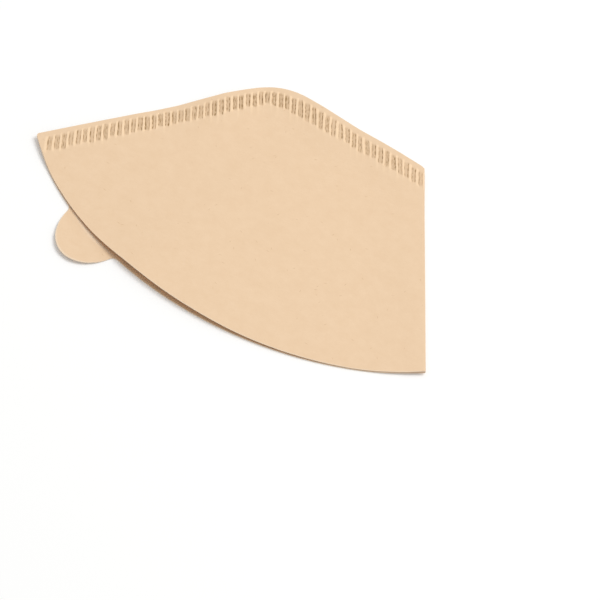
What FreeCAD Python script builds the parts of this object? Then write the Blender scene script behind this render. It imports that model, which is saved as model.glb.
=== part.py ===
"""Wedge-shaped paper coffee filter, folded flat as it comes from its box.

One die-cut sheet is folded in half along a slanted crease. The two plies are then crimped together
along the other slanted side and along the short bottom edge, so that only the wide mouth is open.
The back ply ends in a rounded finger tab past the mouth, which parts the plies when it is pulled.

Millimetres. +Z is up. The filter lies on its back ply at Z = 0, with its mouth towards -Y, the
crimped side on -X and the fold on +X. The origin is under the middle of its rectangle.
"""
import FreeCAD, Part
import math
import os

# The flat shape
bottom_width = 50.9
side_length = 86.3
side_splay = 28.75
mouth_sag = 28.5
seam_corner_radius = 15.5
mouth_corner_radius = 1.2

# The paper, and the room between its plies
ply = 0.2
seam_gap = 0.06
mouth_camber = 1.5
camber_place = 0.36

# The finger tab on the back ply, half an ellipse whose middle lies inside the mouth
tab_width = 20.7
tab_centre_x = -33.2
tab_centre_depth = 94.0
tab_half_length = 17.9
tab_root_radius = 1.2

# The crimped seam
seam_rim = 2.0
side_band = 5.0
bottom_band = 6.4
band_inner_radius = 7.5
crimp_pitch = 2.05
crimp_base_width = 1.2
crimp_crest_width = 0.7
crimp_height = 0.3
crimp_from_fold = 1.93
crimp_from_mouth = 4.6

# Directions and places in the plane of the paper
X = FreeCAD.Vector(1, 0, 0)
Y = FreeCAD.Vector(0, 1, 0)
Z = FreeCAD.Vector(0, 0, 1)
splay = math.radians(side_splay)
side_way = FreeCAD.Vector(-math.sin(splay), -math.cos(splay), 0)
fold_way = FreeCAD.Vector(math.sin(splay), -math.cos(splay), 0)
off_fold = fold_way.cross(Z)
seam_y = (tab_centre_depth + tab_half_length) / 2
seam_corner = FreeCAD.Vector(-bottom_width / 2, seam_y, 0)
fold_corner = FreeCAD.Vector(bottom_width / 2, seam_y, 0)
seam_end = seam_corner + side_way * side_length
mouth_radius = (seam_end.x ** 2 + mouth_sag ** 2) / (2 * mouth_sag)
mouth_centre = FreeCAD.Vector(0, seam_end.y - mouth_sag + mouth_radius, 0)
mouth_low_y = mouth_centre.y - mouth_radius

# Thickness of the pressed seam, and spare lengths for shapes that are trimmed afterwards
seam_thickness = 2 * ply + seam_gap
bend_radius = seam_thickness / 2
overrun = 2 * side_length
headroom = 2 * (seam_thickness + mouth_camber + crimp_height)


def half_width(y, inset):
    """Distance at this Y from the middle to the slanted sides, each moved in by the inset."""
    return bottom_width / 2 - inset / math.cos(splay) + (seam_y - y) * math.tan(splay)


def round_upright(solid, place, radius):
    """Rounds the upright edge of the solid that stands at this place in the plane."""
    corner = [
        edge
        for edge in solid.Edges
        if all(math.hypot(v.X - place.x, v.Y - place.y) < ply / 10 for v in edge.Vertexes)
    ]
    return solid.makeFillet(radius, corner)


def inside_seam(side_inset, bottom_inset, radius, floor):
    """All that lies inside two lines beside the crimped side and the bottom edge, above the floor.

    The insets move the two lines in from the paper's edges. They meet in a corner of this radius.
    """
    corner_y = seam_y - bottom_inset
    corner = FreeCAD.Vector(-half_width(corner_y, side_inset), corner_y, floor)
    far_side = corner + side_way * overrun
    far_corner = corner + (X - Y) * overrun
    far_bottom = corner + X * overrun
    outline = Part.makePolygon([corner, far_side, far_corner, far_bottom, corner])
    solid = Part.Face(outline).extrude(Z * headroom)
    return round_upright(solid, corner, radius)


def sleeve_section(y, camber, inset):
    """Section across the two plies at this Y, drawn the inset inside the paper's surface.

    It is flat beside the seam. From there to the fold the upper ply bows up by the camber.
    """
    turn_x = half_width(y, bend_radius)
    seam_x = -half_width(y, seam_rim + side_band)
    outer_x = -half_width(y, -seam_rim)
    peak_x = seam_x + camber_place * (turn_x - seam_x)
    top = seam_thickness - inset

    base_left = FreeCAD.Vector(outer_x, y, inset - ply)
    base_right = FreeCAD.Vector(turn_x, y, inset - ply)
    top_right = FreeCAD.Vector(turn_x, y, top)
    peak = FreeCAD.Vector(peak_x, y, top + camber)
    seam_top = FreeCAD.Vector(seam_x, y, top)
    top_left = FreeCAD.Vector(outer_x, y, top)

    bow = Part.BSplineCurve()
    bow.interpolate(Points=[top_right, peak, seam_top], InitialTangent=-X, FinalTangent=-X)
    edges = [
        Part.LineSegment(base_left, base_right),
        Part.LineSegment(base_right, top_right),
        bow,
        Part.LineSegment(seam_top, top_left),
        Part.LineSegment(top_left, base_left),
    ]
    return Part.Wire([edge.toShape() for edge in edges])


def sleeve(inset):
    """Both plies up to where they turn at the fold or, inset by one ply, the room between them."""
    sections = [
        sleeve_section(seam_y + ply, 0, inset),
        sleeve_section(seam_y - seam_rim - bottom_band, 0, inset),
        sleeve_section(mouth_low_y - ply, mouth_camber, inset),
    ]
    return Part.makeLoft(sections, True, True)


def fold():
    """The half-round turn of the paper along the fold."""
    foot = fold_corner + off_fold * bend_radius - fold_way * overrun / 2
    crown = foot + Z * seam_thickness
    outer = foot - off_fold * bend_radius + Z * bend_radius
    half_disc = Part.Wire([Part.Arc(foot, outer, crown).toShape(), Part.makeLine(crown, foot)])
    return Part.Face(half_disc).extrude(fold_way * 2 * overrun)


def folded_sheet():
    """Both plies in their outline, joined at the fold and the seam and open at the mouth."""
    blank = inside_seam(0, 0, seam_corner_radius, 0)
    outline = blank.common(Part.makeCylinder(mouth_radius, headroom, mouth_centre))
    outline = round_upright(outline, seam_end, mouth_corner_radius)
    seam_inner_edge = inside_seam(seam_rim + side_band, seam_rim + bottom_band, band_inner_radius, ply)
    pocket = sleeve(ply).common(seam_inner_edge)
    plies = sleeve(0).common(outline)
    return plies.fuse(fold().common(outline)).cut(pocket)


def with_tab(sheet):
    """The sheet with the finger tab on its back ply, blended into the mouth's edge."""
    middle = FreeCAD.Vector(tab_centre_x, seam_y - tab_centre_depth, 0)
    ellipse = Part.Ellipse(middle - Y * tab_half_length, middle + X * tab_width / 2, middle)
    tab = Part.Face(Part.Wire(ellipse.toShape())).extrude(Z * ply)
    joined = sheet.fuse(tab)
    roots = [
        edge
        for edge in joined.Edges
        if abs(edge.Length - ply) < ply / 100
        and all(abs(v.X - tab_centre_x) < tab_width / 2 for v in edge.Vertexes)
    ]
    return joined.makeFillet(tab_root_radius, roots)


def crimp_bars(base):
    """One bar for each crimp, parallel to the fold, whose sloping flanks start at this height."""
    half_base = crimp_base_width / 2
    half_crest = crimp_crest_width / 2
    left = [(-half_base, -ply / 2), (-half_base, 0), (-half_crest, crimp_height)]
    right = [(-u, w) for u, w in reversed(left)]
    last = (seam_end - fold_corner).dot(off_fold) - crimp_from_mouth
    count = int((last - crimp_from_fold) / crimp_pitch) + 1
    bars = []
    for index in range(count):
        start = fold_corner + off_fold * (crimp_from_fold + index * crimp_pitch) - fold_way * overrun
        points = [start + off_fold * u + Z * (base + w) for u, w in left + right + left[:1]]
        bars.append(Part.Face(Part.makePolygon(points)).extrude(fold_way * 2 * overrun))
    return bars


def with_crimps(sheet):
    """The sheet with its seam pressed into ribs, raised on the front and hollow from the back."""
    outer = inside_seam(seam_rim, seam_rim, seam_corner_radius - seam_rim, -headroom / 2)
    inner = inside_seam(seam_rim + side_band, seam_rim + bottom_band, band_inner_radius, -headroom / 2)
    band = outer.cut(inner)
    ribs = [band.common(bar) for bar in crimp_bars(seam_thickness)]
    hollows = [band.common(bar) for bar in crimp_bars(0)]
    return sheet.fuse(ribs).cut(hollows)


def make_filter():
    """The whole filter, one folded and crimped sheet of paper."""
    return with_crimps(with_tab(folded_sheet())).removeSplitter()


if __name__ == "__main__":
    os.makedirs("parts", exist_ok=True)
    make_filter().exportStep("parts/filter_paper.step")
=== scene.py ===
"""Dresses a wedge-shaped paper coffee filter, folded flat, and lights it on a pale floor.

The filter is one die-cut sheet of unbleached crepe paper. It is folded once, and its two plies are
crimped together along one slanted side and along the short bottom edge. The back ply has a finger tab.
"""

import logging
import math
from dataclasses import dataclass, field
from enum import Enum
from random import Random

import bpy
import numpy as np
from mathutils import Matrix, Vector, noise


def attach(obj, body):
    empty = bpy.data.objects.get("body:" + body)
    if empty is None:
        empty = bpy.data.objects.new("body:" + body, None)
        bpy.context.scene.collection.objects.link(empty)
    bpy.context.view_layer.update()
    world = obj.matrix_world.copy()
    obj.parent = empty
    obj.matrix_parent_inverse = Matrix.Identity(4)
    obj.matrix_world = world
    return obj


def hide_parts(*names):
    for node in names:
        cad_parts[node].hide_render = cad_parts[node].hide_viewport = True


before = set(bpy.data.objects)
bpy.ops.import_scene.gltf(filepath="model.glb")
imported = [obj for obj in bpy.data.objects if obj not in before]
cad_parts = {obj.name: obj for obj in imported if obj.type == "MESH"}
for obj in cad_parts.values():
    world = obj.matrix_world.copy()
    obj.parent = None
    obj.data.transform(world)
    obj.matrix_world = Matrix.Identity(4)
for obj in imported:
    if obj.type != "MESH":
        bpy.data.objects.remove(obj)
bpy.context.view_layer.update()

# Metres in a millimetre, and degrees between each slanted side and the filter's middle line
MM = 0.001
SIDE_SPLAY = 28.75

# How many steps a line through knots is drawn in, and over how many of them it is smoothed
EASE_STEPS = 600
EASE_WINDOW = 25

# Pitches by which a place on the border of two grooves counts to the first one, in spite of rounding
BORDER_NUDGE = 1e-6

# The sockets that a noise's and a range's numbers go to, in the finishes' order
NOISE_SOCKETS = ("Scale", "Detail", "Roughness")
RANGE_SOCKETS = ("From Min", "From Max", "To Min", "To Max")

# What the sheet's mesh says of each of its points, for the paper's finish to read: the shade
# painted in the crimps, the highlight painted on their ridges, and the one painted along the cut edges
MARKS = ("crimp_shade", "ridge_highlight", "cut_edge_highlight")

Knots = tuple[tuple[float, float], ...]
Range = tuple[float, float, float, float]
Tree = bpy.types.NodeTree
Socket = bpy.types.NodeSocket

logging.basicConfig(level=logging.INFO, format="%(message)s")
log = logging.getLogger("coffee_filter")


class Ply(Enum):
    """The two layers of the folded sheet, counted from the one that the filter lies on."""

    BACK = 0
    FRONT = 1


def smooth_step(x: np.ndarray) -> np.ndarray:
    """Eases from 0 to 1 as x goes from 0 to 1, and is level outside."""
    x = np.clip(x, 0.0, 1.0)
    return x * x * (3.0 - 2.0 * x)


def linear_rgba(hex_colour: str) -> tuple[float, float, float, float]:
    """Turns an sRGB hex colour into the linear values that a shader takes.

    Args:
        hex_colour: Six hex digits after a hash sign.

    Returns:
        Linear red, green and blue, and an alpha of 1.
    """
    channels = [int(hex_colour[i : i + 2], 16) / 255.0 for i in (1, 3, 5)]
    linear = [c / 12.92 if c <= 0.04045 else ((c + 0.055) / 1.055) ** 2.4 for c in channels]
    return (*linear, 1.0)


def add_node(
    tree: Tree, kind: str, settings: dict | None = None, links: dict | None = None
) -> bpy.types.Node:
    """Adds one node with its settings and its links.

    Args:
        tree: The material's node tree.
        kind: The node's type name, without the words that all of them start with.
        settings: Property names, or input numbers and names, with their values.
        links: Input numbers or names, with the output socket that feeds each.

    Returns:
        The new node.
    """
    node = tree.nodes.new(f"ShaderNode{kind}")
    for key, value in (settings or {}).items():
        if isinstance(key, str) and hasattr(node, key):
            setattr(node, key, value)
        else:
            node.inputs[key].default_value = value
    for key, output in (links or {}).items():
        tree.links.new(output, node.inputs[key])
    return node


@dataclass(frozen=True)
class FlatPattern:
    """Outline of one ply as it lies flat, in millimetres.

    Places on it are given by two distances: off the fold, square to it, and along the fold, from the
    corner where it meets the bottom seam. Every crimp runs along the fold, so it keeps the first one.
    The lines and circles that the outline is made of are worked out once, and kept by name.
    """

    bottom_width: float = 50.9
    side_length: float = 86.3
    side_splay: float = SIDE_SPLAY
    mouth_sag: float = 28.5
    seam_corner_radius: float = 15.5
    mouth_corner_radius: float = 1.2
    fold_corner_radius: float = 1.0
    seam_y: float = 55.95
    line: dict[str, float] = field(default_factory=dict)

    def __post_init__(self) -> None:
        """Works out the lines and circles that the outline is made of."""
        splay = math.radians(self.side_splay)
        sine, cosine = math.sin(splay), math.cos(splay)
        half_chord = self.bottom_width / 2 + self.side_length * sine
        mouth_radius = (half_chord**2 + self.mouth_sag**2) / (2 * self.mouth_sag)
        mouth_y = self.seam_y - self.side_length * cosine - self.mouth_sag + mouth_radius
        mouth_off, mouth_along = self.off_and_along(0.0, mouth_y)
        self.line.update(mouth_radius=mouth_radius, mouth_y=mouth_y)
        self.line.update(mouth_off=mouth_off, mouth_along=mouth_along)

        bottom_slope = -math.tan(splay)
        side_slope = 1 / math.tan(2 * splay)
        side_start = -self.bottom_width * sine - self.bottom_width * cosine * side_slope
        self.line.update(bottom_slope=bottom_slope, side_slope=side_slope, side_start=side_start)

        radius = self.seam_corner_radius
        bottom_rise, side_rise = math.hypot(1, bottom_slope), math.hypot(1, side_slope)
        corner_off = (radius * (bottom_rise - side_rise) - side_start) / (side_slope - bottom_slope)
        self.line["corner_off"] = corner_off
        self.line["corner_along"] = bottom_slope * corner_off + radius * bottom_rise
        self.line["corner_from"] = corner_off + radius * bottom_slope / bottom_rise
        self.line["corner_to"] = corner_off + radius * side_slope / side_rise

        tip = self.mouth_corner_radius
        base = side_start + tip * side_rise - mouth_along
        a = 1 + side_slope**2
        b = 2 * (side_slope * base - mouth_off)
        c = mouth_off**2 + base**2 - (mouth_radius - tip) ** 2
        tip_off = (-b + math.sqrt(b * b - 4 * a * c)) / (2 * a)
        inward = mouth_radius / (mouth_radius - tip)
        self.line["tip_off"] = tip_off
        self.line["tip_along"] = side_start + side_slope * tip_off + tip * side_rise
        self.line["tip_from"] = tip_off + tip * side_slope / side_rise
        self.line["tip_to"] = mouth_off + (tip_off - mouth_off) * inward

    def off_and_along(self, x: float, y: float) -> tuple[float, float]:
        """Turns a place in the filter's plane into its distances off and along the fold.

        Args:
            x: Across the mouth, from the filter's middle towards the fold.
            y: From the middle of the filter's length towards the bottom seam.

        Returns:
            The distance off the fold, and the distance along it.
        """
        splay = math.radians(self.side_splay)
        dx, dy = x - self.bottom_width / 2, y - self.seam_y
        off = -dx * math.cos(splay) - dy * math.sin(splay)
        along = dx * math.sin(splay) - dy * math.cos(splay)
        return off, along

    def x_and_y(self, off: np.ndarray, along: np.ndarray) -> tuple[np.ndarray, np.ndarray]:
        """Turns distances off and along the fold into places in the filter's plane.

        Args:
            off: Distances off the fold.
            along: Distances along the fold.

        Returns:
            X and Y.
        """
        splay = math.radians(self.side_splay)
        x = self.bottom_width / 2 - off * math.cos(splay) + along * math.sin(splay)
        y = self.seam_y - off * math.sin(splay) - along * math.cos(splay)
        return x, y

    @staticmethod
    def circle_height(radius: float, from_middle: np.ndarray) -> np.ndarray:
        """Height of a circle over its middle line at these distances from its middle, and 0 past it."""
        return np.sqrt(np.maximum(radius**2 - from_middle**2, 0))

    def seam_edge(self, off: np.ndarray) -> np.ndarray:
        """Finds where the paper begins, along its bottom, round its corner, up its side and its tip.

        Args:
            off: Distances off the fold.

        Returns:
            The distances along the fold at which the paper begins.
        """
        p = self.line
        corner = p["corner_along"] - self.circle_height(self.seam_corner_radius, off - p["corner_off"])
        tip = p["tip_along"] - self.circle_height(self.mouth_corner_radius, off - p["tip_off"])
        near_fold = np.clip(1 - off / self.fold_corner_radius, 0, 1)
        rounding = self.fold_corner_radius * (1 - np.sqrt(1 - near_fold**2))
        along = np.where(off < p["corner_from"], p["bottom_slope"] * off + rounding, corner)
        along = np.where(off > p["corner_to"], p["side_start"] + p["side_slope"] * off, along)
        return np.where(off > p["tip_from"], tip, along)

    def mouth_edge(self, off: np.ndarray) -> np.ndarray:
        """Finds where the paper ends, along the mouth's arc and round the tip.

        Args:
            off: Distances off the fold.

        Returns:
            The distances along the fold at which the paper ends.
        """
        p = self.line
        arc = p["mouth_along"] + self.circle_height(p["mouth_radius"], off - p["mouth_off"])
        tip = p["tip_along"] + self.circle_height(self.mouth_corner_radius, off - p["tip_off"])
        return np.where(off > p["tip_to"], tip, arc)

    def side_share(self, off: np.ndarray) -> np.ndarray:
        """How far round the seam's corner a place is, from 0 at the bottom edge to 1 at the side."""
        p = self.line
        return smooth_step((off - p["corner_from"]) / (p["corner_to"] - p["corner_from"]))


def eased(knots: Knots, at: np.ndarray) -> np.ndarray:
    """Reads values off a smoothed line through the knots.

    Args:
        knots: Places and values.
        at: Places to read.

    Returns:
        The values there.
    """
    places, values = np.array(knots).T
    fine = np.linspace(places[0], places[-1], EASE_STEPS)
    kernel = np.hanning(EASE_WINDOW)
    padded = np.pad(np.interp(fine, places, values), EASE_WINDOW // 2, mode="edge")
    return np.interp(at, fine, np.convolve(padded, kernel / kernel.sum(), "valid"))


@dataclass(frozen=True)
class CrimpedSeam:
    """The band of crimps that joins the two plies, in millimetres.

    A toothed wheel presses each groove. The paper puckers in it into a few uneven creases, of which
    the two beside the walls are the deepest, and it stands up in a narrow ridge between grooves.
    Places and widths across a groove are in pitches, from its middle. Knots are read by distance off
    the fold: how far the grooves creep from their even pitch, how far the rim's and the crimps' ends
    wander, how hard the wheel presses, and how much stronger the one wall's crease is than the other's.
    """

    rim: float = 2.0
    bottom_band: float = 6.4
    side_band: float = 5.2
    pitch: float = 2.05
    first_groove: float = 0.9
    grooves: int = 56
    side_splay: float = SIDE_SPLAY

    # Where the crimps' tilt and bend end inwards, and how near the fold they begin
    tilt_reach: float = 12.0
    tilt_fade: float = 3.0
    untilted_pitches: float = 0.2

    # The grooves: their depth and painted shade, half their width, and the shape of their ends
    groove_depth: float = 0.10
    groove_shade_tone: float = 0.22
    wall: float = 0.322
    end_rounding: float = 0.3
    end_squareness: float = 0.7
    begin_ramp: float = 0.9
    finish_ramp: float = 1.0

    # The ridges: their height and flanks, and how far past the grooves' two ends they fade out
    ridge_height: float = 0.10
    ridge_foot: float = 0.05
    ridge_flank: float = 0.065
    last_ridge_end: float = 0.85
    last_ridge_flank: float = 0.2
    ridge_overrun: tuple[float, float] = (0.4, 1.0)
    ridge_ramps: tuple[float, float] = (0.9, 1.8)

    # The creases in a groove, which swell and thin in waves along it, and the shade painted in them
    creases: tuple[float, ...] = (-0.265, -0.18, -0.09, 0.0, 0.09, 0.18, 0.265)
    crease_depth: float = 0.155
    crease_shade_tone: float = 0.8
    crease_half_width: float = 0.07
    crease_swell: float = 0.75
    deepest_crease: float = 1.2
    shortest_wave: float = 1.7
    wave_span: float = 2.6

    # A crease's least strength, how much stronger it can be, and how rare strong ones are
    edge_crease: tuple[float, float, float] = (0.2, 0.85, 1.2)
    inner_crease: tuple[float, float, float] = (0.0, 0.9, 3.2)
    evenness: float = 0.8

    # The wheel's own unevenness, and the number that its draws start from
    creep: Knots = (
        (0, 0.3), (5, 0.6), (26, 0.65), (41, 0.95), (46, 0.8), (68, 0.68), (76, 0.3), (106, -0.35),
        (118, -0.3),
    )
    rim_wander: Knots = (
        (0, 0.25), (10, -0.15), (18, 0.1), (42, 0.0), (49, -1.0), (61, -0.4), (70, -0.3), (80, -0.85),
        (100, -0.85), (110, -0.4), (118, -0.4),
    )
    end_wander: Knots = (
        (0, 0.2), (10, -0.15), (17, 0.2), (25, 0.4), (32, 1.7), (40, 0.7), (49, -0.85), (57, 0.0),
        (69, 0.4), (78, -0.3), (86, 0.05), (100, 0.05), (109, 0.6), (118, 0.4),
    )
    press: Knots = (
        (0, 0.75), (20, 0.85), (32, 0.95), (48, 1.3), (56, 1.2), (72, 1.0), (82, 1.05), (104, 0.85),
        (118, 0.7),
    )
    lean: Knots = (
        (0, -1.25), (36, -1.25), (42, 1.0), (50, 1.6), (58, 2.8), (72, 2.8), (78, 1.0), (118, 1.2),
    )
    seed: int = 7
    habits: dict[str, np.ndarray] = field(default_factory=dict)

    def __post_init__(self) -> None:
        """Gives each groove its own place, width, depth, creases and ends, the same in every run."""
        chance = Random(self.seed)
        spans = {
            "shift": (-0.03, 0.03),
            "width": (0.92, 1.06),
            "depth": (0.93, 1.05),
            "floor": (0.85, 1.15),
            "start": (-0.15, 0.35),
            "end": (-0.4, 0.6),
            "tilt": (-0.045, 0.045),
            "bend": (-0.16, 0.16),
            "ridge": (0.88, 1.02),
        }
        for name, (low, high) in spans.items():
            self.habits[name] = np.array([chance.uniform(low, high) for _ in range(self.grooves)])
        for number in range(len(self.creases)):
            outer = number in (0, len(self.creases) - 1)
            least, span, rarity = self.edge_crease if outer else self.inner_crease
            draws = np.array([[chance.random() for _ in range(3)] for _ in range(self.grooves)]).T
            self.habits[f"crease_{number}"] = least + span * draws[0] ** rarity
            self.habits[f"wave_{number}"] = math.tau * draws[1]
            self.habits[f"length_{number}"] = self.shortest_wave + self.wave_span * draws[2]
        names = [f"crease_{number}" for number in range(len(self.creases))]
        total = sum(self.habits[name] for name in names)
        for name in names:
            self.habits[name] *= (total.mean() / total) ** self.evenness
        middles = self.first_groove + self.pitch * np.arange(self.grooves)
        self.habits["shift"] += eased(self.creep, middles) / self.pitch
        self.habits["depth"] *= eased(self.press, middles)

    def slant(self, share: np.ndarray) -> np.ndarray:
        """How much longer a crimp's run is than the same distance square to the seam's edge."""
        splay = math.radians(self.side_splay)
        return (1 - share) / math.cos(splay) + share / math.sin(2 * splay)

    def rim_run(self, off: np.ndarray, share: np.ndarray) -> np.ndarray:
        """Width of the flat rim along the crimps, with the wheel's slight wander."""
        return self.rim * self.slant(share) + eased(self.rim_wander, off)

    def band_run(self, off: np.ndarray, share: np.ndarray) -> np.ndarray:
        """Length of a crimp: longer along the bottom than along the side, and it wanders too."""
        band = self.bottom_band + (self.side_band - self.bottom_band) * share
        return band * self.slant(share) + eased(self.end_wander, off) - eased(self.rim_wander, off)

    def column_places(self) -> list[float]:
        """Places the mesh columns that draw the grooves' section.

        Returns:
            Their distances off the fold.
        """
        phases = (-self.wall, *self.creases, self.wall)
        shift, width = self.habits["shift"], self.habits["width"]
        places = []
        for groove in range(self.grooves):
            places += [groove + shift[groove] + width[groove] * phase for phase in phases]
            following = min(groove + 1, self.grooves - 1)
            places.append(groove + 0.5 + (shift[groove] + shift[following]) / 2)
        return [self.first_groove + self.pitch * place for place in places]

    def nearest(self, off: np.ndarray) -> tuple[np.ndarray, dict[str, np.ndarray]]:
        """Finds the groove that each place belongs to.

        Args:
            off: Distance off the fold.

        Returns:
            How far across its groove each place is, in pitches, and the groove's own habits there.
        """
        count = (off - self.first_groove) / self.pitch
        middles = np.arange(self.grooves) + self.habits["shift"]
        groove = np.searchsorted((middles[1:] + middles[:-1]) / 2 + BORDER_NUDGE, count)
        own = {name: values[groove] for name, values in self.habits.items()}
        return (count - groove - own["shift"]) / own["width"], own

    def sway(self, off: np.ndarray, run: np.ndarray, share: np.ndarray) -> np.ndarray:
        """Works out how far the crimps' slight tilt and bend move each place sideways.

        Args:
            off: Distance off the fold.
            run: Distance from the seam's edge, along the fold.
            share: 0 along the bottom seam, 1 along the side.

        Returns:
            The moves, away from the fold.
        """
        count = (off - self.first_groove) / self.pitch
        grooves = np.arange(self.grooves)
        tilt = np.interp(count, grooves, self.habits["tilt"])
        bend = np.interp(count, grooves, self.habits["bend"])
        rim, band = self.rim_run(off, share), self.band_run(off, share)
        along = np.clip((run - rim) / band, 0, 1)
        fade = smooth_step(run / rim) * smooth_step((self.tilt_reach - run) / self.tilt_fade)
        fade = fade * smooth_step(off / self.pitch - self.untilted_pitches)
        return fade * (tilt * (along - 0.5) * band + bend * np.sin(math.pi * along))

    def creasing(
        self, off: np.ndarray, run: np.ndarray, phase: np.ndarray, own: dict[str, np.ndarray]
    ) -> np.ndarray:
        """Adds up the creases that cross each place in a groove. Each swells and thins on its way.

        Args:
            off: Distance off the fold.
            run: Distance from the seam's edge, along the fold.
            phase: Distance across the groove, in pitches.
            own: The habits of the groove that each place is in.

        Returns:
            How strong the creases are, with 1 for a plain one at its middle.
        """
        crease = np.zeros(off.shape)
        for number, middle in enumerate(self.creases):
            wave = math.tau * run / own[f"length_{number}"] + own[f"wave_{number}"]
            swell = 1 + self.crease_swell * np.sin(wave)
            if number in (0, len(self.creases) - 1):
                swell *= 1 + middle * eased(self.lean, off)
            near = np.clip(1 - np.abs(phase - middle) / self.crease_half_width, 0, 1)
            crease += own[f"crease_{number}"] * swell * near
        return crease

    def relief(
        self, off: np.ndarray, run: np.ndarray, share: np.ndarray
    ) -> tuple[np.ndarray, np.ndarray, np.ndarray]:
        """Height of the crimped paper over its flat rim, and where shade and highlight are painted on it.

        Args:
            off: Distance off the fold.
            run: Distance from the seam's edge, along the fold.
            share: 0 along the bottom seam, 1 along the side.

        Returns:
            Heights in millimetres, the painted shade in the grooves and creases, and the painted
            highlight on the ridges, both from 0 to 1.
        """
        phase, own = self.nearest(off)
        crease = self.creasing(off, run, phase, own)
        well = np.clip((self.wall - np.abs(phase)) / (self.wall - max(self.creases)), 0, 1)
        ridge = np.clip((np.abs(phase) - self.wall + self.ridge_foot) / self.ridge_flank, 0, 1)
        ridge = ridge * np.clip((self.last_ridge_end - np.abs(phase)) / self.last_ridge_flank, 0, 1)

        begin = self.rim_run(off, share) + own["start"]
        finish = self.rim_run(off, share) + self.band_run(off, share) + own["end"]
        across = np.clip(phase / self.wall, -1, 1)
        edge_slope = math.tan(math.radians(self.side_splay)) * (share - 1)
        edge_slope = edge_slope + share / math.tan(math.radians(2 * self.side_splay))
        skew = self.end_squareness * edge_slope * across * self.wall * self.pitch
        round_end = self.end_rounding * across**2
        pressed = smooth_step((run - begin + skew - round_end) / self.begin_ramp)
        pressed = pressed * smooth_step((finish - run - skew - round_end) / self.finish_ramp)
        pucker = smooth_step((run - begin + self.ridge_overrun[0]) / self.ridge_ramps[0])
        pucker = pucker * smooth_step((finish + self.ridge_overrun[1] - run) / self.ridge_ramps[1])

        dip = well * self.groove_depth * own["floor"]
        dip = dip + np.minimum(crease, self.deepest_crease) * self.crease_depth
        height = ridge * own["ridge"] * self.ridge_height * pucker - dip * own["depth"] * pressed
        # Painted shade: the grooves' floors and their creases are coloured darker, as shade would make
        # them
        crimp_shade = self.groove_shade_tone * well * own["floor"] + self.crease_shade_tone * crease
        crimp_shade = own["depth"] * pressed * crimp_shade
        # Painted highlight: the ridges between grooves are coloured paler, where light catches them
        ridge_highlight = ridge * own["ridge"] * pucker
        return height, np.clip(crimp_shade, 0, 1), np.clip(ridge_highlight, 0, 1)


@dataclass(frozen=True)
class FingerTab:
    """The tab on the back ply, half an ellipse past the mouth, in millimetres.

    Its edge is blended into the mouth's at both roots. It rises a little towards its end.
    """

    width: float = 20.7
    centre_x: float = -33.2
    centre_depth: float = 94.0
    half_length: float = 17.9
    root_blend: float = 1.7
    rise: float = 1.1
    rise_reach: float = 17.68

    # How finely the mesh draws it: rows lie closer at its edge, and points where the edge turns
    rows: int = 9
    columns: int = 80
    row_easing: float = 1.25
    turn_weight: float = 3.0
    ellipse_overlap: float = 0.4
    ellipse_points: int = 4001
    blend_points: int = 40
    area_points: int = 200

    def outline(
        self, pattern: FlatPattern, shares: np.ndarray
    ) -> tuple[np.ndarray, tuple[float, float]]:
        """Works out the tab's edge, from its root near the seam to the one near the fold.

        Args:
            pattern: The ply that the tab grows from.
            shares: How far along the edge each point lies, from 0 to 1. Turns count as extra length.

        Returns:
            The points, and the two roots' distances off the fold.
        """
        centre = np.array([self.centre_x, pattern.seam_y - self.centre_depth])
        mouth = np.array([0.0, pattern.line["mouth_y"]])
        radius = pattern.line["mouth_radius"]
        most = math.pi / 2 + self.ellipse_overlap
        turn = np.linspace(-most, most, self.ellipse_points)
        ellipse = centre + np.stack([self.width / 2 * np.sin(turn), -self.half_length * np.cos(turn)], 1)
        ellipse = ellipse[np.hypot(*(ellipse - mouth).T) > radius]
        steps = np.concatenate([[0], np.cumsum(np.hypot(*np.diff(ellipse, axis=0).T))])
        inner = ellipse[(steps > self.root_blend) & (steps < steps[-1] - self.root_blend)]
        blends = []
        for root, onward, way in ((ellipse[0], inner[0], -1), (ellipse[-1], inner[-1], 1)):
            angle = math.atan2(*(root - mouth)) - way * self.root_blend / radius
            start = mouth + radius * np.array([math.sin(angle), math.cos(angle)])
            t = np.linspace(0, 1, self.blend_points)[:, None]
            blends.append((1 - t) ** 2 * start + 2 * t * (1 - t) * root + t**2 * onward)
        edge = np.vstack([blends[0], inner[1:-1], blends[1][::-1]])
        step = np.diff(edge, axis=0)
        heading = np.unwrap(np.arctan2(step[:, 1], step[:, 0]))
        turns = np.abs(np.diff(heading, prepend=heading[0]))
        steps = np.concatenate([[0], np.cumsum(np.hypot(*step.T) + self.turn_weight * turns)])
        points = np.stack([np.interp(shares * steps[-1], steps, edge[:, i]) for i in (0, 1)], 1)
        roots = tuple(pattern.off_and_along(*edge[i])[0] for i in (0, -1))
        return points, roots


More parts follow.
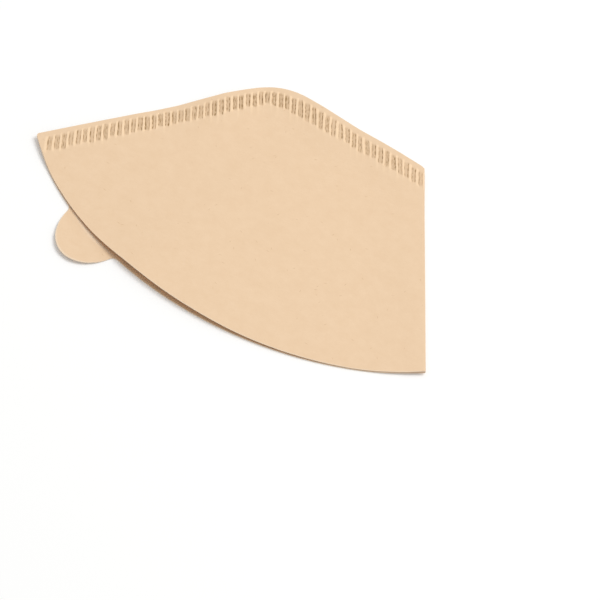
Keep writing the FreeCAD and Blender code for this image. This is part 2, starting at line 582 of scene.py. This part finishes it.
@dataclass(frozen=True)
class UnbleachedCrepePaper:
    """Unbleached filter paper, wet-laid and lightly creped: matt, warm brown and softly cloudy.

    The pulp is washed but not bleached, so its colour is that of the wood. Fibres lie at all angles
    in thin and thick spots, which shows as faint clouds, and a few darker slivers stay in. The shade
    in the crimps' grooves and creases is painted in darker, and a painted highlight makes the ridges
    between them and the cut edges paler.
    """

    paper: str = "#F0D2B0"
    cloud: str = "#E9C9A5"
    # The colour that the shade in the crimps' grooves and creases is painted in
    crease: str = "#A98A61"
    # The colour of the highlight painted on the crimps' ridges
    ridge_highlight: str = "#FCDDB8"
    # The colour of the highlight painted along the sheet's cut edges
    cut_edge_highlight: str = "#F5DEC3"
    sliver: str = "#C59C6D"
    roughness: float = 0.92
    specular: float = 0.18
    crimp_splay: float = SIDE_SPLAY

    cloud_mm: float = 4.0
    cloud_fineness: tuple[float, float] = (6.0, 0.8)
    cloud_range: Range = (0.36, 0.68, 0.0, 0.6)
    sliver_cell_mm: float = 2.4
    sliver_mm: tuple[float, float] = (1.3, 0.24)
    sliver_range: Range = (0.5, 1.0, 0.45, 0.0)
    sliver_turn: float = 4 * math.pi
    # A noise drawn along the crimps that makes their painted shade uneven
    pucker_mm: tuple[float, float] = (0.3, 1.2)
    pucker_fineness: tuple[float, float] = (2.0, 0.5)
    pucker_range: Range = (0.3, 0.7, 0.5, 1.5)

    # Real fibres are far finer than this: they are drawn as coarse as they need to be to show
    fibre_mm: float = 0.55
    fibre_fineness: tuple[float, float] = (4.0, 0.7)
    crepe_mm: tuple[float, float] = (2.3, 0.8)
    crepe_fineness: tuple[float, float] = (3.0, 0.6)
    grain_depth_mm: float = 0.06
    grain_strength: float = 0.7

    def slivers(self, tree: Tree, place: Socket) -> Socket:
        """Adds one short sliver of wood to each cell of the sheet, turned its own way.

        Args:
            tree: The material's node tree.
            place: Gives Object coordinates.

        Returns:
            How much of a sliver each place shows.
        """
        spread = {"Scale": 1 / (self.sliver_cell_mm * MM), "Randomness": 1.0}
        cells = add_node(tree, "TexVoronoi", spread, {"Vector": place}).outputs
        minus = {"operation": "SUBTRACT"}
        from_middle = add_node(tree, "VectorMath", minus, {0: place, 1: cells["Position"]})
        times = {"operation": "MULTIPLY", 1: self.sliver_turn}
        turn = add_node(tree, "Math", times, {0: cells["Color"]})
        lie = {"Vector": from_middle.outputs[0], "Angle": turn.outputs[0]}
        turned = add_node(tree, "VectorRotate", {"rotation_type": "Z_AXIS"}, lie)
        half_long, half_wide = (size / 2 * MM for size in self.sliver_mm)
        by_size = {"operation": "DIVIDE", 1: (half_long, half_wide, half_wide)}
        in_slivers = add_node(tree, "VectorMath", by_size, {0: turned.outputs[0]})
        reach = add_node(tree, "VectorMath", {"operation": "LENGTH"}, {0: in_slivers.outputs[0]})
        ranges = dict(zip(RANGE_SOCKETS, self.sliver_range))
        return add_node(tree, "MapRange", ranges, {"Value": reach.outputs["Value"]}).outputs[0]

    def crimpwise(
        self, tree: Tree, place: Socket, size_mm: tuple[float, float], fineness: tuple[float, float]
    ) -> Socket:
        """Adds a noise that is drawn out along or across the crimps.

        Args:
            tree: The material's node tree.
            place: Gives Object coordinates.
            size_mm: How large its spots are across the crimps and along them.
            fineness: How many finer noises it holds, and how rough they are.

        Returns:
            The noise.
        """
        across, along = (size * MM for size in size_mm)
        turn = (0, 0, math.radians(self.crimp_splay))
        lie = {"vector_type": "TEXTURE", "Rotation": turn, "Scale": (across, along, along)}
        turned = add_node(tree, "Mapping", lie, {"Vector": place}).outputs[0]
        spots = dict(zip(NOISE_SOCKETS, (1.0, *fineness)))
        return add_node(tree, "TexNoise", spots, {"Vector": turned}).outputs["Fac"]

    def build(self) -> bpy.types.Material:
        """Makes the paper's material: each colour laid over the last, and the grain's relief.

        Returns:
            The material.
        """
        material = bpy.data.materials.new("unbleached_crepe_paper")
        material.use_nodes = True
        tree = material.node_tree
        tree.nodes.clear()
        place = add_node(tree, "TexCoord").outputs["Object"]
        marks = {
            name: add_node(tree, "Attribute", {"attribute_name": name}).outputs["Fac"] for name in MARKS
        }
        spots = dict(zip(NOISE_SOCKETS, (1 / (self.cloud_mm * MM), *self.cloud_fineness)))
        clouds = add_node(tree, "TexNoise", spots, {"Vector": place}).outputs["Fac"]
        ranges = dict(zip(RANGE_SOCKETS, self.cloud_range))
        cloudy = add_node(tree, "MapRange", ranges, {"Value": clouds})
        # Painted shade in the crimps' grooves and creases, made uneven by the pucker noise
        puckers = self.crimpwise(tree, place, self.pucker_mm, self.pucker_fineness)
        ranges = dict(zip(RANGE_SOCKETS, self.pucker_range))
        uneven = add_node(tree, "MapRange", ranges, {"Value": puckers})
        product = {"operation": "MULTIPLY", "use_clamp": True}
        crease = add_node(tree, "Math", product, {0: marks["crimp_shade"], 1: uneven.outputs[0]})

        both = {"data_type": "RGBA", 6: linear_rgba(self.paper), 7: linear_rgba(self.cloud)}
        tone = add_node(tree, "Mix", both, {0: cloudy.outputs[0]}).outputs[2]
        # The slivers are the paper's own; then the ridges' painted highlight, the crimps' painted shade
        # and the cut edges' painted highlight
        layers = (
            (self.sliver, self.slivers(tree, place)),
            (self.ridge_highlight, marks["ridge_highlight"]),
            (self.crease, crease.outputs[0]),
            (self.cut_edge_highlight, marks["cut_edge_highlight"]),
        )
        for colour, share in layers:
            over = {"data_type": "RGBA", 7: linear_rgba(colour)}
            tone = add_node(tree, "Mix", over, {0: share, 6: tone}).outputs[2]

        crepe = self.crimpwise(tree, place, self.crepe_mm, self.crepe_fineness)
        spots = dict(zip(NOISE_SOCKETS, (1 / (self.fibre_mm * MM), *self.fibre_fineness)))
        fibres = add_node(tree, "TexNoise", spots, {"Vector": place}).outputs["Fac"]
        grain = add_node(tree, "Math", {"operation": "ADD"}, {0: crepe, 1: fibres}).outputs[0]
        depth = {"Strength": self.grain_strength, "Distance": self.grain_depth_mm * MM}
        bump = add_node(tree, "Bump", depth, {"Height": grain}).outputs[0]
        matt = {"Roughness": self.roughness, "Specular IOR Level": self.specular}
        shader = add_node(tree, "BsdfPrincipled", matt, {"Base Color": tone, "Normal": bump})
        add_node(tree, "OutputMaterial", None, {"Surface": shader.outputs[0]})
        return material


@dataclass
class FoldedFilter:
    """The whole filter: one sheet, folded, crimped, slightly bowed open at its mouth, and curled.

    Lengths are in millimetres. The curl's knots are heights by distance off the fold. The camber's
    are the room between the plies at the mouth, from 0 at the seam to 1 at the fold. Rows are given
    as shares of the rim, of the crimps and of the rest of the way to the mouth.
    """

    pattern: FlatPattern
    seam: CrimpedSeam
    tab: FingerTab
    finish: UnbleachedCrepePaper
    ply: float = 0.2
    ply_gap: float = 0.05
    upright_from: float = 0.2
    upright_over: float = 0.2
    sharp_angle: float = 50.0
    merge_reach: float = 0.001

    # How high the crimps' middle lies, where the tilt stops before the mouth, and the limp unevenness
    bed: float = 0.3
    bed_reach: float = 9.0
    still_edge: float = 1.5
    flute: float = 0.05
    flute_length: float = 22.0
    flute_slice: float = 3.0
    flute_level: float = 0.5
    flute_fade: float = 0.5

    # The fold: its first column, how round it stands, how far it springs open, and how it lifts
    fold_nose: float = 0.2
    fold_bulge: float = 0.03
    fold_spring: float = 0.15
    fold_spring_length: float = 60.0
    fold_spring_reach: float = 12.0
    fold_lift: float = 0.6
    fold_reach: float = 20.0
    fold_angles: tuple[float, ...] = (72, 48, 24, 0, -24, -48, -72)

    # The mesh rows and columns, and the least room that one column leaves the next
    rim_rows: tuple[float, ...] = (0.0, 0.1, 0.45, 0.8)
    crimp_rows: tuple[float, ...] = (
        -0.03, 0.03, 0.08, 0.15, 0.24, 0.34, 0.44, 0.54, 0.64, 0.74, 0.83, 0.90, 0.96, 1.02, 1.10,
    )
    inner_rows: tuple[float, ...] = (
        0.04, 0.09, 0.16, 0.24, 0.33, 0.43, 0.53, 0.63, 0.72, 0.81, 0.89, 0.95,
    )
    most_crimped: float = 0.82
    edge_row: float = 0.3
    edge_row_share: float = 0.025
    tip_columns: int = 5
    tip_angles: tuple[float, ...] = (15, 30, 45, 60, 72, 82)
    root_room: float = 0.03
    column_room: float = 0.06

    curl_reach: float = 24.0
    curl: Knots = (
        (0, 0.5), (8, 0.75), (14, 0.66), (20, 0.35), (32, 0.8), (40, 0.52), (50, 0.3), (56, 1.0),
        (62, 1.35), (68, 0.8), (76, 0.0), (83, 0.0), (88, 0.32), (104, 0.65), (118, 0.8),
    )
    camber_growth: float = 1.5
    camber: Knots = (
        (0.0, 0.0), (0.11, 0.4), (0.2, 0.5), (0.26, 0.8), (0.345, 1.95), (0.39, 1.95), (0.5, 1.5),
        (0.6, 0.8), (0.68, 0.5), (0.82, 0.22), (1.0, 0.3),
    )

    def columns(self) -> np.ndarray:
        """Places the mesh columns of one ply: on the crimps, round the tip, and across the tab.

        Returns:
            Their distances off the fold, outwards from it.
        """
        radius = self.pattern.mouth_corner_radius
        places = [c for c in self.seam.column_places() if c > 2 * self.ply]
        tip_start = self.pattern.line["tip_off"]
        places += list(np.linspace(places[-1], tip_start, self.tip_columns + 1)[1:])
        places += [tip_start + radius * math.sin(math.radians(angle)) for angle in self.tip_angles]
        _, roots = self.tab.outline(self.pattern, np.zeros(1))
        places = [c for c in places if all(abs(c - root) > self.root_room for root in roots)]
        places += roots
        across_tab = np.linspace(*roots, self.tab.columns)
        places += [c for c in across_tab if min(abs(c - place) for place in places) > self.column_room]
        return np.array([self.fold_nose, *sorted(places)])

    def rows(self, off: np.ndarray) -> np.ndarray:
        """Distances along the fold of the mesh rows, for each column.

        Args:
            off: The columns' distances off the fold.

        Returns:
            One row of distances for each mesh row, from the seam's edge to the mouth.
        """
        share = self.pattern.side_share(off)
        top = self.pattern.seam_edge(off)
        length = self.pattern.mouth_edge(off) - top
        rim = self.seam.rim_run(off, share)
        band = self.seam.band_run(off, share)
        runs = [rim * part for part in self.rim_rows] + [rim + band * part for part in self.crimp_rows]
        spread = np.minimum(1.0, self.most_crimped * length / runs[-1])
        runs = [run * spread for run in runs]
        used = runs[-1]
        runs += [used + (length - used) * part for part in self.inner_rows]
        edge = np.minimum(self.edge_row, self.edge_row_share * (length - used))
        runs += [length - edge, length]
        return np.array([top + run for run in runs])

    def lift(self, off: np.ndarray, run: np.ndarray) -> np.ndarray:
        """Works out how far the seam's curl and the fold lift both plies, dying away inwards.

        Args:
            off: Distance off the fold.
            run: Distance from the seam's edge, along the fold.

        Returns:
            The heights.
        """
        seam = eased(self.curl, off) * smooth_step(1 - run / self.curl_reach)
        fold = self.fold_lift * smooth_step(1 - off / self.fold_reach) * smooth_step(run / self.curl_reach)
        return seam + fold * (1 - seam / 2)

    def room(self, x: np.ndarray, y: np.ndarray) -> np.ndarray:
        """Works out the room between the plies where the front one bows up, widest at the mouth.

        Args:
            x: Across the mouth, from the filter's middle towards the fold.
            y: From the middle of the filter's length towards the bottom seam.

        Returns:
            The room.
        """
        pattern = self.pattern
        splay = math.radians(pattern.side_splay)
        low_y = pattern.line["mouth_y"] - pattern.line["mouth_radius"]
        half = pattern.bottom_width / 2 + (pattern.seam_y - y) * math.tan(splay)
        seam_x = -half + (self.seam.rim + self.seam.side_band) / math.cos(splay)
        across = (x - seam_x) / (half - seam_x)
        down = np.clip((self.pocket_y() - y) / (self.pocket_y() - low_y), 0, 1)
        return eased(self.camber, np.clip(across, 0, 1)) * down**self.camber_growth

    def sheet_points(self, off: np.ndarray, along: np.ndarray, ply: Ply) -> tuple[np.ndarray, ...]:
        """Places the middle of one ply of paper.

        Args:
            off: Distance off the fold of each point.
            along: Distance along the fold of each point.
            ply: Which ply they are on.

        Returns:
            X, Y and Z in millimetres, and how much painted shade and painted highlight each point has.
        """
        share = self.pattern.side_share(off)
        run = along - self.pattern.seam_edge(off)
        inside = smooth_step((self.pattern.mouth_edge(off) - along) / self.still_edge)
        x, y = self.pattern.x_and_y(off + self.seam.sway(off, run, share) * inside, along)
        height, crimp_shade, ridge_highlight = self.seam.relief(off, run, share)
        inner = self.seam.rim_run(off, share) + self.seam.band_run(off, share)
        bed = self.bed * smooth_step(1 - (run - inner) / self.bed_reach)
        z = self.ply / 2 + np.maximum(bed + height + self.lift(off, run), 0.0)
        if ply is Ply.FRONT:
            spring = 2 * self.spring(y) * smooth_step(1 - off / self.fold_spring_reach)
            z = z + self.ply + self.ply_gap + np.maximum(self.room(x, y), spring)
        return x, y, z, crimp_shade, ridge_highlight

    def pocket_y(self) -> float:
        """How far up the room between the plies begins, under the bottom seam."""
        return self.pattern.seam_y - self.seam.rim - self.seam.bottom_band

    def spring(self, y: np.ndarray) -> np.ndarray:
        """Extra radius that the fold springs open to, from least at the seam to most at the mouth."""
        down = smooth_step((self.pocket_y() - y) / self.fold_spring_length)
        return self.fold_bulge + self.fold_spring * down

    def grid(self) -> tuple[np.ndarray, dict[str, np.ndarray]]:
        """Places every point of the sheet, from the front ply's tip round the fold to the back ply's.

        Returns:
            Points in metres by row and column, and the values that colour them, by name.
        """
        off = self.columns()
        along = self.rows(off)
        offs = np.broadcast_to(off, along.shape)
        front = self.sheet_points(offs, along, Ply.FRONT)
        back = self.sheet_points(offs, along, Ply.BACK)
        low, high = back[2][:, 0], front[2][:, 0]
        radius = (high - low) / 2
        turn = []
        for angle in np.radians(self.fold_angles):
            near = off[0] * (1 - np.cos(angle))
            x, y = self.pattern.x_and_y(near, along[:, 0])
            flat = np.zeros_like(x)
            turn.append((x, y, (low + high) / 2 + radius * np.sin(angle), flat, flat))
        parts = [
            np.concatenate([front[i][:, ::-1], np.stack([t[i] for t in turn], 1), back[i]], axis=1)
            for i in range(5)
        ]
        points = np.stack(parts[:3], axis=-1) * MM
        # The sheet's outermost rows and columns carry the cut edges' painted highlight
        border = np.ones(points.shape[:2])
        border[1:-1, 1:-1] = 0.0
        return points, dict(zip(MARKS, (*parts[3:], border)))

    def build(self) -> bpy.types.Object:
        """Models the filter as one sheet with the paper's thickness, and gives it its finish.

        Returns:
            The finished sheet.
        """
        points, marks = self.grid()
        rows, columns = points.shape[:2]
        bpy.ops.object.select_all(action="DESELECT")
        bpy.ops.mesh.primitive_grid_add(x_subdivisions=columns - 1, y_subdivisions=rows - 1, size=0.1)
        sheet = bpy.context.object
        sheet.name = sheet.data.name = "folded_filter"
        mesh = sheet.data
        mesh.vertices.foreach_set("co", points.reshape(-1))
        for name, values in marks.items():
            attribute = mesh.attributes.new(name, "FLOAT", "POINT")
            attribute.data.foreach_set("value", values.reshape(-1))
        mesh.update()
        self.add_tab(sheet, rows, columns)
        self.merge_points(sheet)
        self.add_flutter(mesh)
        self.thicken(sheet)
        mesh.materials.clear()
        mesh.materials.append(self.finish.build())
        log.info("folded_filter: %d faces", len(mesh.polygons))
        return sheet

    def add_tab(self, sheet: bpy.types.Object, rows: int, columns: int) -> None:
        """Extrudes the back ply's mouth edge, between the tab's roots, row by row into the tab.

        Args:
            sheet: The filter's mesh object.
            rows: How many rows of points the sheet has.
            columns: How many points each row has.
        """
        off = self.columns()
        _, roots = self.tab.outline(self.pattern, np.zeros(1))
        inside = np.flatnonzero((off <= roots[0]) & (off >= roots[1]))[::-1]
        start = (rows - 1) * columns + columns - len(off)
        current = [int(start + i) for i in inside]
        mesh = sheet.data
        base = np.array([mesh.vertices[i].co for i in current])
        edge, _ = self.tab.outline(self.pattern, (off[inside] - roots[0]) / (roots[1] - roots[0]))
        edge = np.column_stack([edge * MM, base[:, 2]])
        edge[0], edge[-1] = base[0], base[-1]
        for row in range(1, self.tab.rows + 1):
            share = 1 - (1 - row / self.tab.rows) ** self.tab.row_easing
            target = base + (edge - base) * share
            past = np.hypot(target[:, 0], target[:, 1] - self.pattern.line["mouth_y"] * MM) / MM
            past = (past - self.pattern.line["mouth_radius"]) / self.tab.rise_reach
            target[:, 2] += self.tab.rise * MM * smooth_step(past)
            order = {self.key(mesh.vertices[i].co): n for n, i in enumerate(current)}
            self.select_edges(sheet, current)
            bpy.ops.object.mode_set(mode="EDIT")
            bpy.ops.mesh.extrude_region_move()
            bpy.ops.object.mode_set(mode="OBJECT")
            for vertex in mesh.vertices:
                if vertex.select:
                    number = order[self.key(vertex.co)]
                    vertex.co = target[number]
                    current[number] = vertex.index
            # The tab's last row carries the cut edges' painted highlight; the other marks are cleared
            for name in MARKS:
                values = mesh.attributes[name].data
                for i in current:
                    values[i].value = 1.0 if name == "cut_edge_highlight" and row == self.tab.rows else 0.0
        log.info("finger tab: %d points across", len(base))

    @staticmethod
    def key(place: Vector) -> tuple[int, int, int]:
        """A place rounded to a nanometre, to find the same place again."""
        return tuple(round(c * 1e9) for c in place)

    @staticmethod
    def select_edges(sheet: bpy.types.Object, chain: list[int]) -> None:
        """Selects only the edges that join these points one after another.

        Args:
            sheet: The filter's mesh object.
            chain: The points' numbers, in their order.
        """
        bpy.ops.object.mode_set(mode="EDIT")
        bpy.ops.mesh.select_mode(type="EDGE")
        bpy.ops.mesh.select_all(action="DESELECT")
        bpy.ops.object.mode_set(mode="OBJECT")
        wanted = {frozenset(pair) for pair in zip(chain, chain[1:])}
        for edge in sheet.data.edges:
            edge.select = frozenset(edge.vertices) in wanted

    def merge_points(self, sheet: bpy.types.Object) -> None:
        """Merges the points that meet at the tips and at the tab's roots.

        Args:
            sheet: The filter's mesh object.
        """
        bpy.context.view_layer.objects.active = sheet
        bpy.ops.object.mode_set(mode="EDIT")
        bpy.ops.mesh.select_all(action="SELECT")
        bpy.ops.mesh.remove_doubles(threshold=self.merge_reach * MM)
        bpy.ops.object.mode_set(mode="OBJECT")

    def add_flutter(self, mesh: bpy.types.Mesh) -> None:
        """Gives the paper the faint unevenness that a limp sheet has, without sinking it.

        Args:
            mesh: The sheet's mesh, before it has its thickness.
        """
        for vertex in mesh.vertices:
            place = vertex.co / (self.flute_length * MM)
            wave = noise.noise(Vector((place.x, place.y, self.flute_slice))) + self.flute_level
            lifted = min(vertex.co.z / (self.flute_fade * MM), 1.0)
            vertex.co.z += max(wave, 0.0) * self.flute * MM * lifted

    def thicken(self, sheet: bpy.types.Object) -> None:
        """Gives the sheet its thickness and smooth shading, with sharp cut edges.

        Args:
            sheet: The filter's mesh object.
        """
        solidify = sheet.modifiers.new("paper", "SOLIDIFY")
        solidify.thickness = self.ply * MM
        solidify.offset = 0.0
        bpy.ops.object.modifier_apply(modifier=solidify.name)
        self.set_thickness_upright(sheet.data)
        bpy.ops.object.mode_set(mode="EDIT")
        bpy.ops.mesh.select_all(action="SELECT")
        bpy.ops.mesh.quads_convert_to_tris(quad_method="SHORTEST_DIAGONAL")
        bpy.ops.object.mode_set(mode="OBJECT")
        bpy.ops.object.select_all(action="DESELECT")
        sheet.select_set(True)
        bpy.ops.object.shade_smooth_by_angle(angle=math.radians(self.sharp_angle))

    def set_thickness_upright(self, mesh: bpy.types.Mesh) -> None:
        """Turns the paper's thickness upright, except round the fold, as a press leaves it.

        The press thins the paper on the grooves' steep walls, and so the two plies lie in each other
        without cutting through.

        Args:
            mesh: The thickened sheet: the points of one face of the paper, then those of the other.
        """
        places = np.empty(len(mesh.vertices) * 3)
        mesh.vertices.foreach_get("co", places)
        first, second = places.reshape(2, -1, 3)
        middle, half = (first + second) / 2, (first - second) / 2
        off, _ = self.pattern.off_and_along(middle[:, 0] / MM, middle[:, 1] / MM)
        lying = smooth_step((off - self.upright_from) / self.upright_over)[:, None]
        upright = np.zeros_like(half)
        upright[:, 2] = np.sign(half[:, 2])
        way = half * (1 - lying) / (self.ply / 2 * MM) + upright * lying
        half = way / np.linalg.norm(way, axis=1)[:, None] * self.ply / 2 * MM
        mesh.vertices.foreach_set("co", np.concatenate([middle + half, middle - half]).reshape(-1))
        mesh.update()

    def flat_size(self) -> tuple[float, float]:
        """Works out the size of the blank that the sheet was cut from, unfolded.

        Returns:
            Its width across the fold and its length along it, in metres.
        """
        off = self.columns()
        top, bottom = self.pattern.seam_edge(off), self.pattern.mouth_edge(off)
        return 2 * off[-1] * MM, float(bottom.max() - top.min()) * MM

    def flat_area(self) -> float:
        """Works out the area of the unfolded blank, with its tab.

        Returns:
            The area in square metres.
        """
        off = np.concatenate([[0.0], self.columns()])
        length = self.pattern.mouth_edge(off) - self.pattern.seam_edge(off)
        ply = float(np.sum((length[1:] + length[:-1]) / 2 * np.diff(off)))
        edge, _ = self.tab.outline(self.pattern, np.linspace(0, 1, self.tab.area_points))
        x, y = edge.T
        tab = 0.5 * abs(float(np.dot(x, np.roll(y, 1)) - np.dot(y, np.roll(x, 1))))
        return (2 * ply + tab) * MM * MM


@dataclass(frozen=True)
class MattPaperboard:
    """Matt white backdrop board, uncoated: it shows no gloss, and reads as white with soft shadows.

    The glow brings it up to white where it is seen, mirrored or seen through glass. It lights nothing.
    """

    colour: str = "#F4F4F3"
    glow: float = 0.12

    def build(self) -> bpy.types.Material:
        """Makes the board's material.

        Returns:
            The material.
        """
        material = bpy.data.materials.new("matt_white_paperboard")
        material.use_nodes = True
        tree = material.node_tree
        tree.nodes.clear()
        board = add_node(tree, "BsdfDiffuse", {"Color": linear_rgba(self.colour)})
        path = add_node(tree, "LightPath").outputs
        seen = path["Is Camera Ray"]
        for ray in ("Is Glossy Ray", "Is Transmission Ray"):
            either = {"operation": "MAXIMUM"}
            seen = add_node(tree, "Math", either, {0: seen, 1: path[ray]}).outputs[0]
        strength = add_node(tree, "Math", {"operation": "MULTIPLY", 1: self.glow}, {0: seen})
        glow = add_node(tree, "Emission", None, {"Strength": strength.outputs[0]})
        both = add_node(tree, "AddShader", None, {0: board.outputs[0], 1: glow.outputs[0]})
        add_node(tree, "OutputMaterial", None, {"Surface": both.outputs[0]})
        return material


@dataclass(frozen=True)
class Studio:
    """A pale floor, plain soft light, and the photograph's camera. Places and sizes are in metres."""

    floor: MattPaperboard = MattPaperboard()
    floor_size: float = 6.0
    floor_drop: float = 0.00006
    sky_level: float = 0.60
    key_place: tuple[float, float, float] = (0.5, 0.6, 1.5)
    key_size: float = 1.1
    key_power: float = 14.55
    camera_azimuth: float = 15.51
    camera_elevation: float = 42.25
    camera_roll: float = 20.83
    camera_distance: float = 1.1409
    camera_target: tuple[float, float, float] = (0.02542, -0.02138, 0.00117)
    lens_mm: float = 240.0
    sensor_mm: float = 36.0
    farthest: float = 20.0

    def add_floor(self) -> None:
        """Lays the floor just under the filter. It shows white and keeps the filter's shadow."""
        bpy.ops.object.select_all(action="DESELECT")
        bpy.ops.mesh.primitive_plane_add(size=self.floor_size, location=(0, 0, -self.floor_drop))
        floor = bpy.context.object
        floor.name = "pale_floor"
        floor.data.materials.append(self.floor.build())

    def add_light(self) -> None:
        """Lights the filter from an even sky and one broad soft lamp."""
        world = bpy.data.worlds.new("even_sky")
        world.use_nodes = True
        background = world.node_tree.nodes["Background"]
        background.inputs["Color"].default_value = (1.0, 1.0, 1.0, 1.0)
        background.inputs["Strength"].default_value = self.sky_level
        bpy.context.scene.world = world
        lamp = bpy.data.lights.new("soft_key", "AREA")
        lamp.size = self.key_size
        lamp.energy = self.key_power
        key = bpy.data.objects.new("soft_key", lamp)
        key.location = self.key_place
        key.rotation_euler = (-Vector(self.key_place)).to_track_quat("-Z", "Y").to_euler()
        bpy.context.scene.collection.objects.link(key)

    def add_camera(self) -> None:
        """Places the camera where the photograph was taken from."""
        azimuth = math.radians(self.camera_azimuth)
        elevation = math.radians(self.camera_elevation)
        roll = math.radians(self.camera_roll)
        reach = math.cos(elevation)
        back = Vector((math.sin(azimuth) * reach, -math.cos(azimuth) * reach, math.sin(elevation)))
        level = (-back).cross(Vector((0, 0, 1))).normalized()
        upright = level.cross(-back)
        right = level * math.cos(roll) + upright * math.sin(roll)
        up = upright * math.cos(roll) - level * math.sin(roll)
        lens = bpy.data.cameras.new("photograph_view")
        lens.lens = self.lens_mm
        lens.sensor_width = self.sensor_mm
        lens.sensor_fit = "HORIZONTAL"
        lens.clip_end = self.farthest
        camera = bpy.data.objects.new("photograph_view", lens)
        turn = Matrix((right, up, back)).transposed().to_4x4()
        place = Vector(self.camera_target) + back * self.camera_distance
        camera.matrix_world = Matrix.Translation(place) @ turn
        bpy.context.scene.collection.objects.link(camera)
        bpy.context.scene.camera = camera


def main() -> None:
    bpy.context.scene.view_settings.view_transform = "Standard"
    studio = Studio()
    studio.add_camera()
    studio.add_floor()
    studio.add_light()

    paper = FoldedFilter(FlatPattern(), CrimpedSeam(), FingerTab(), UnbleachedCrepePaper())
    sheet = paper.build()
    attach(sheet, "root")
    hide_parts("filter_paper")
    width, length = paper.flat_size()
    log.info("blank: %.1f x %.1f mm, %.5f m2", width / MM, length / MM, paper.flat_area())
    paper.flat_area()


if __name__ == "__main__":
    main()
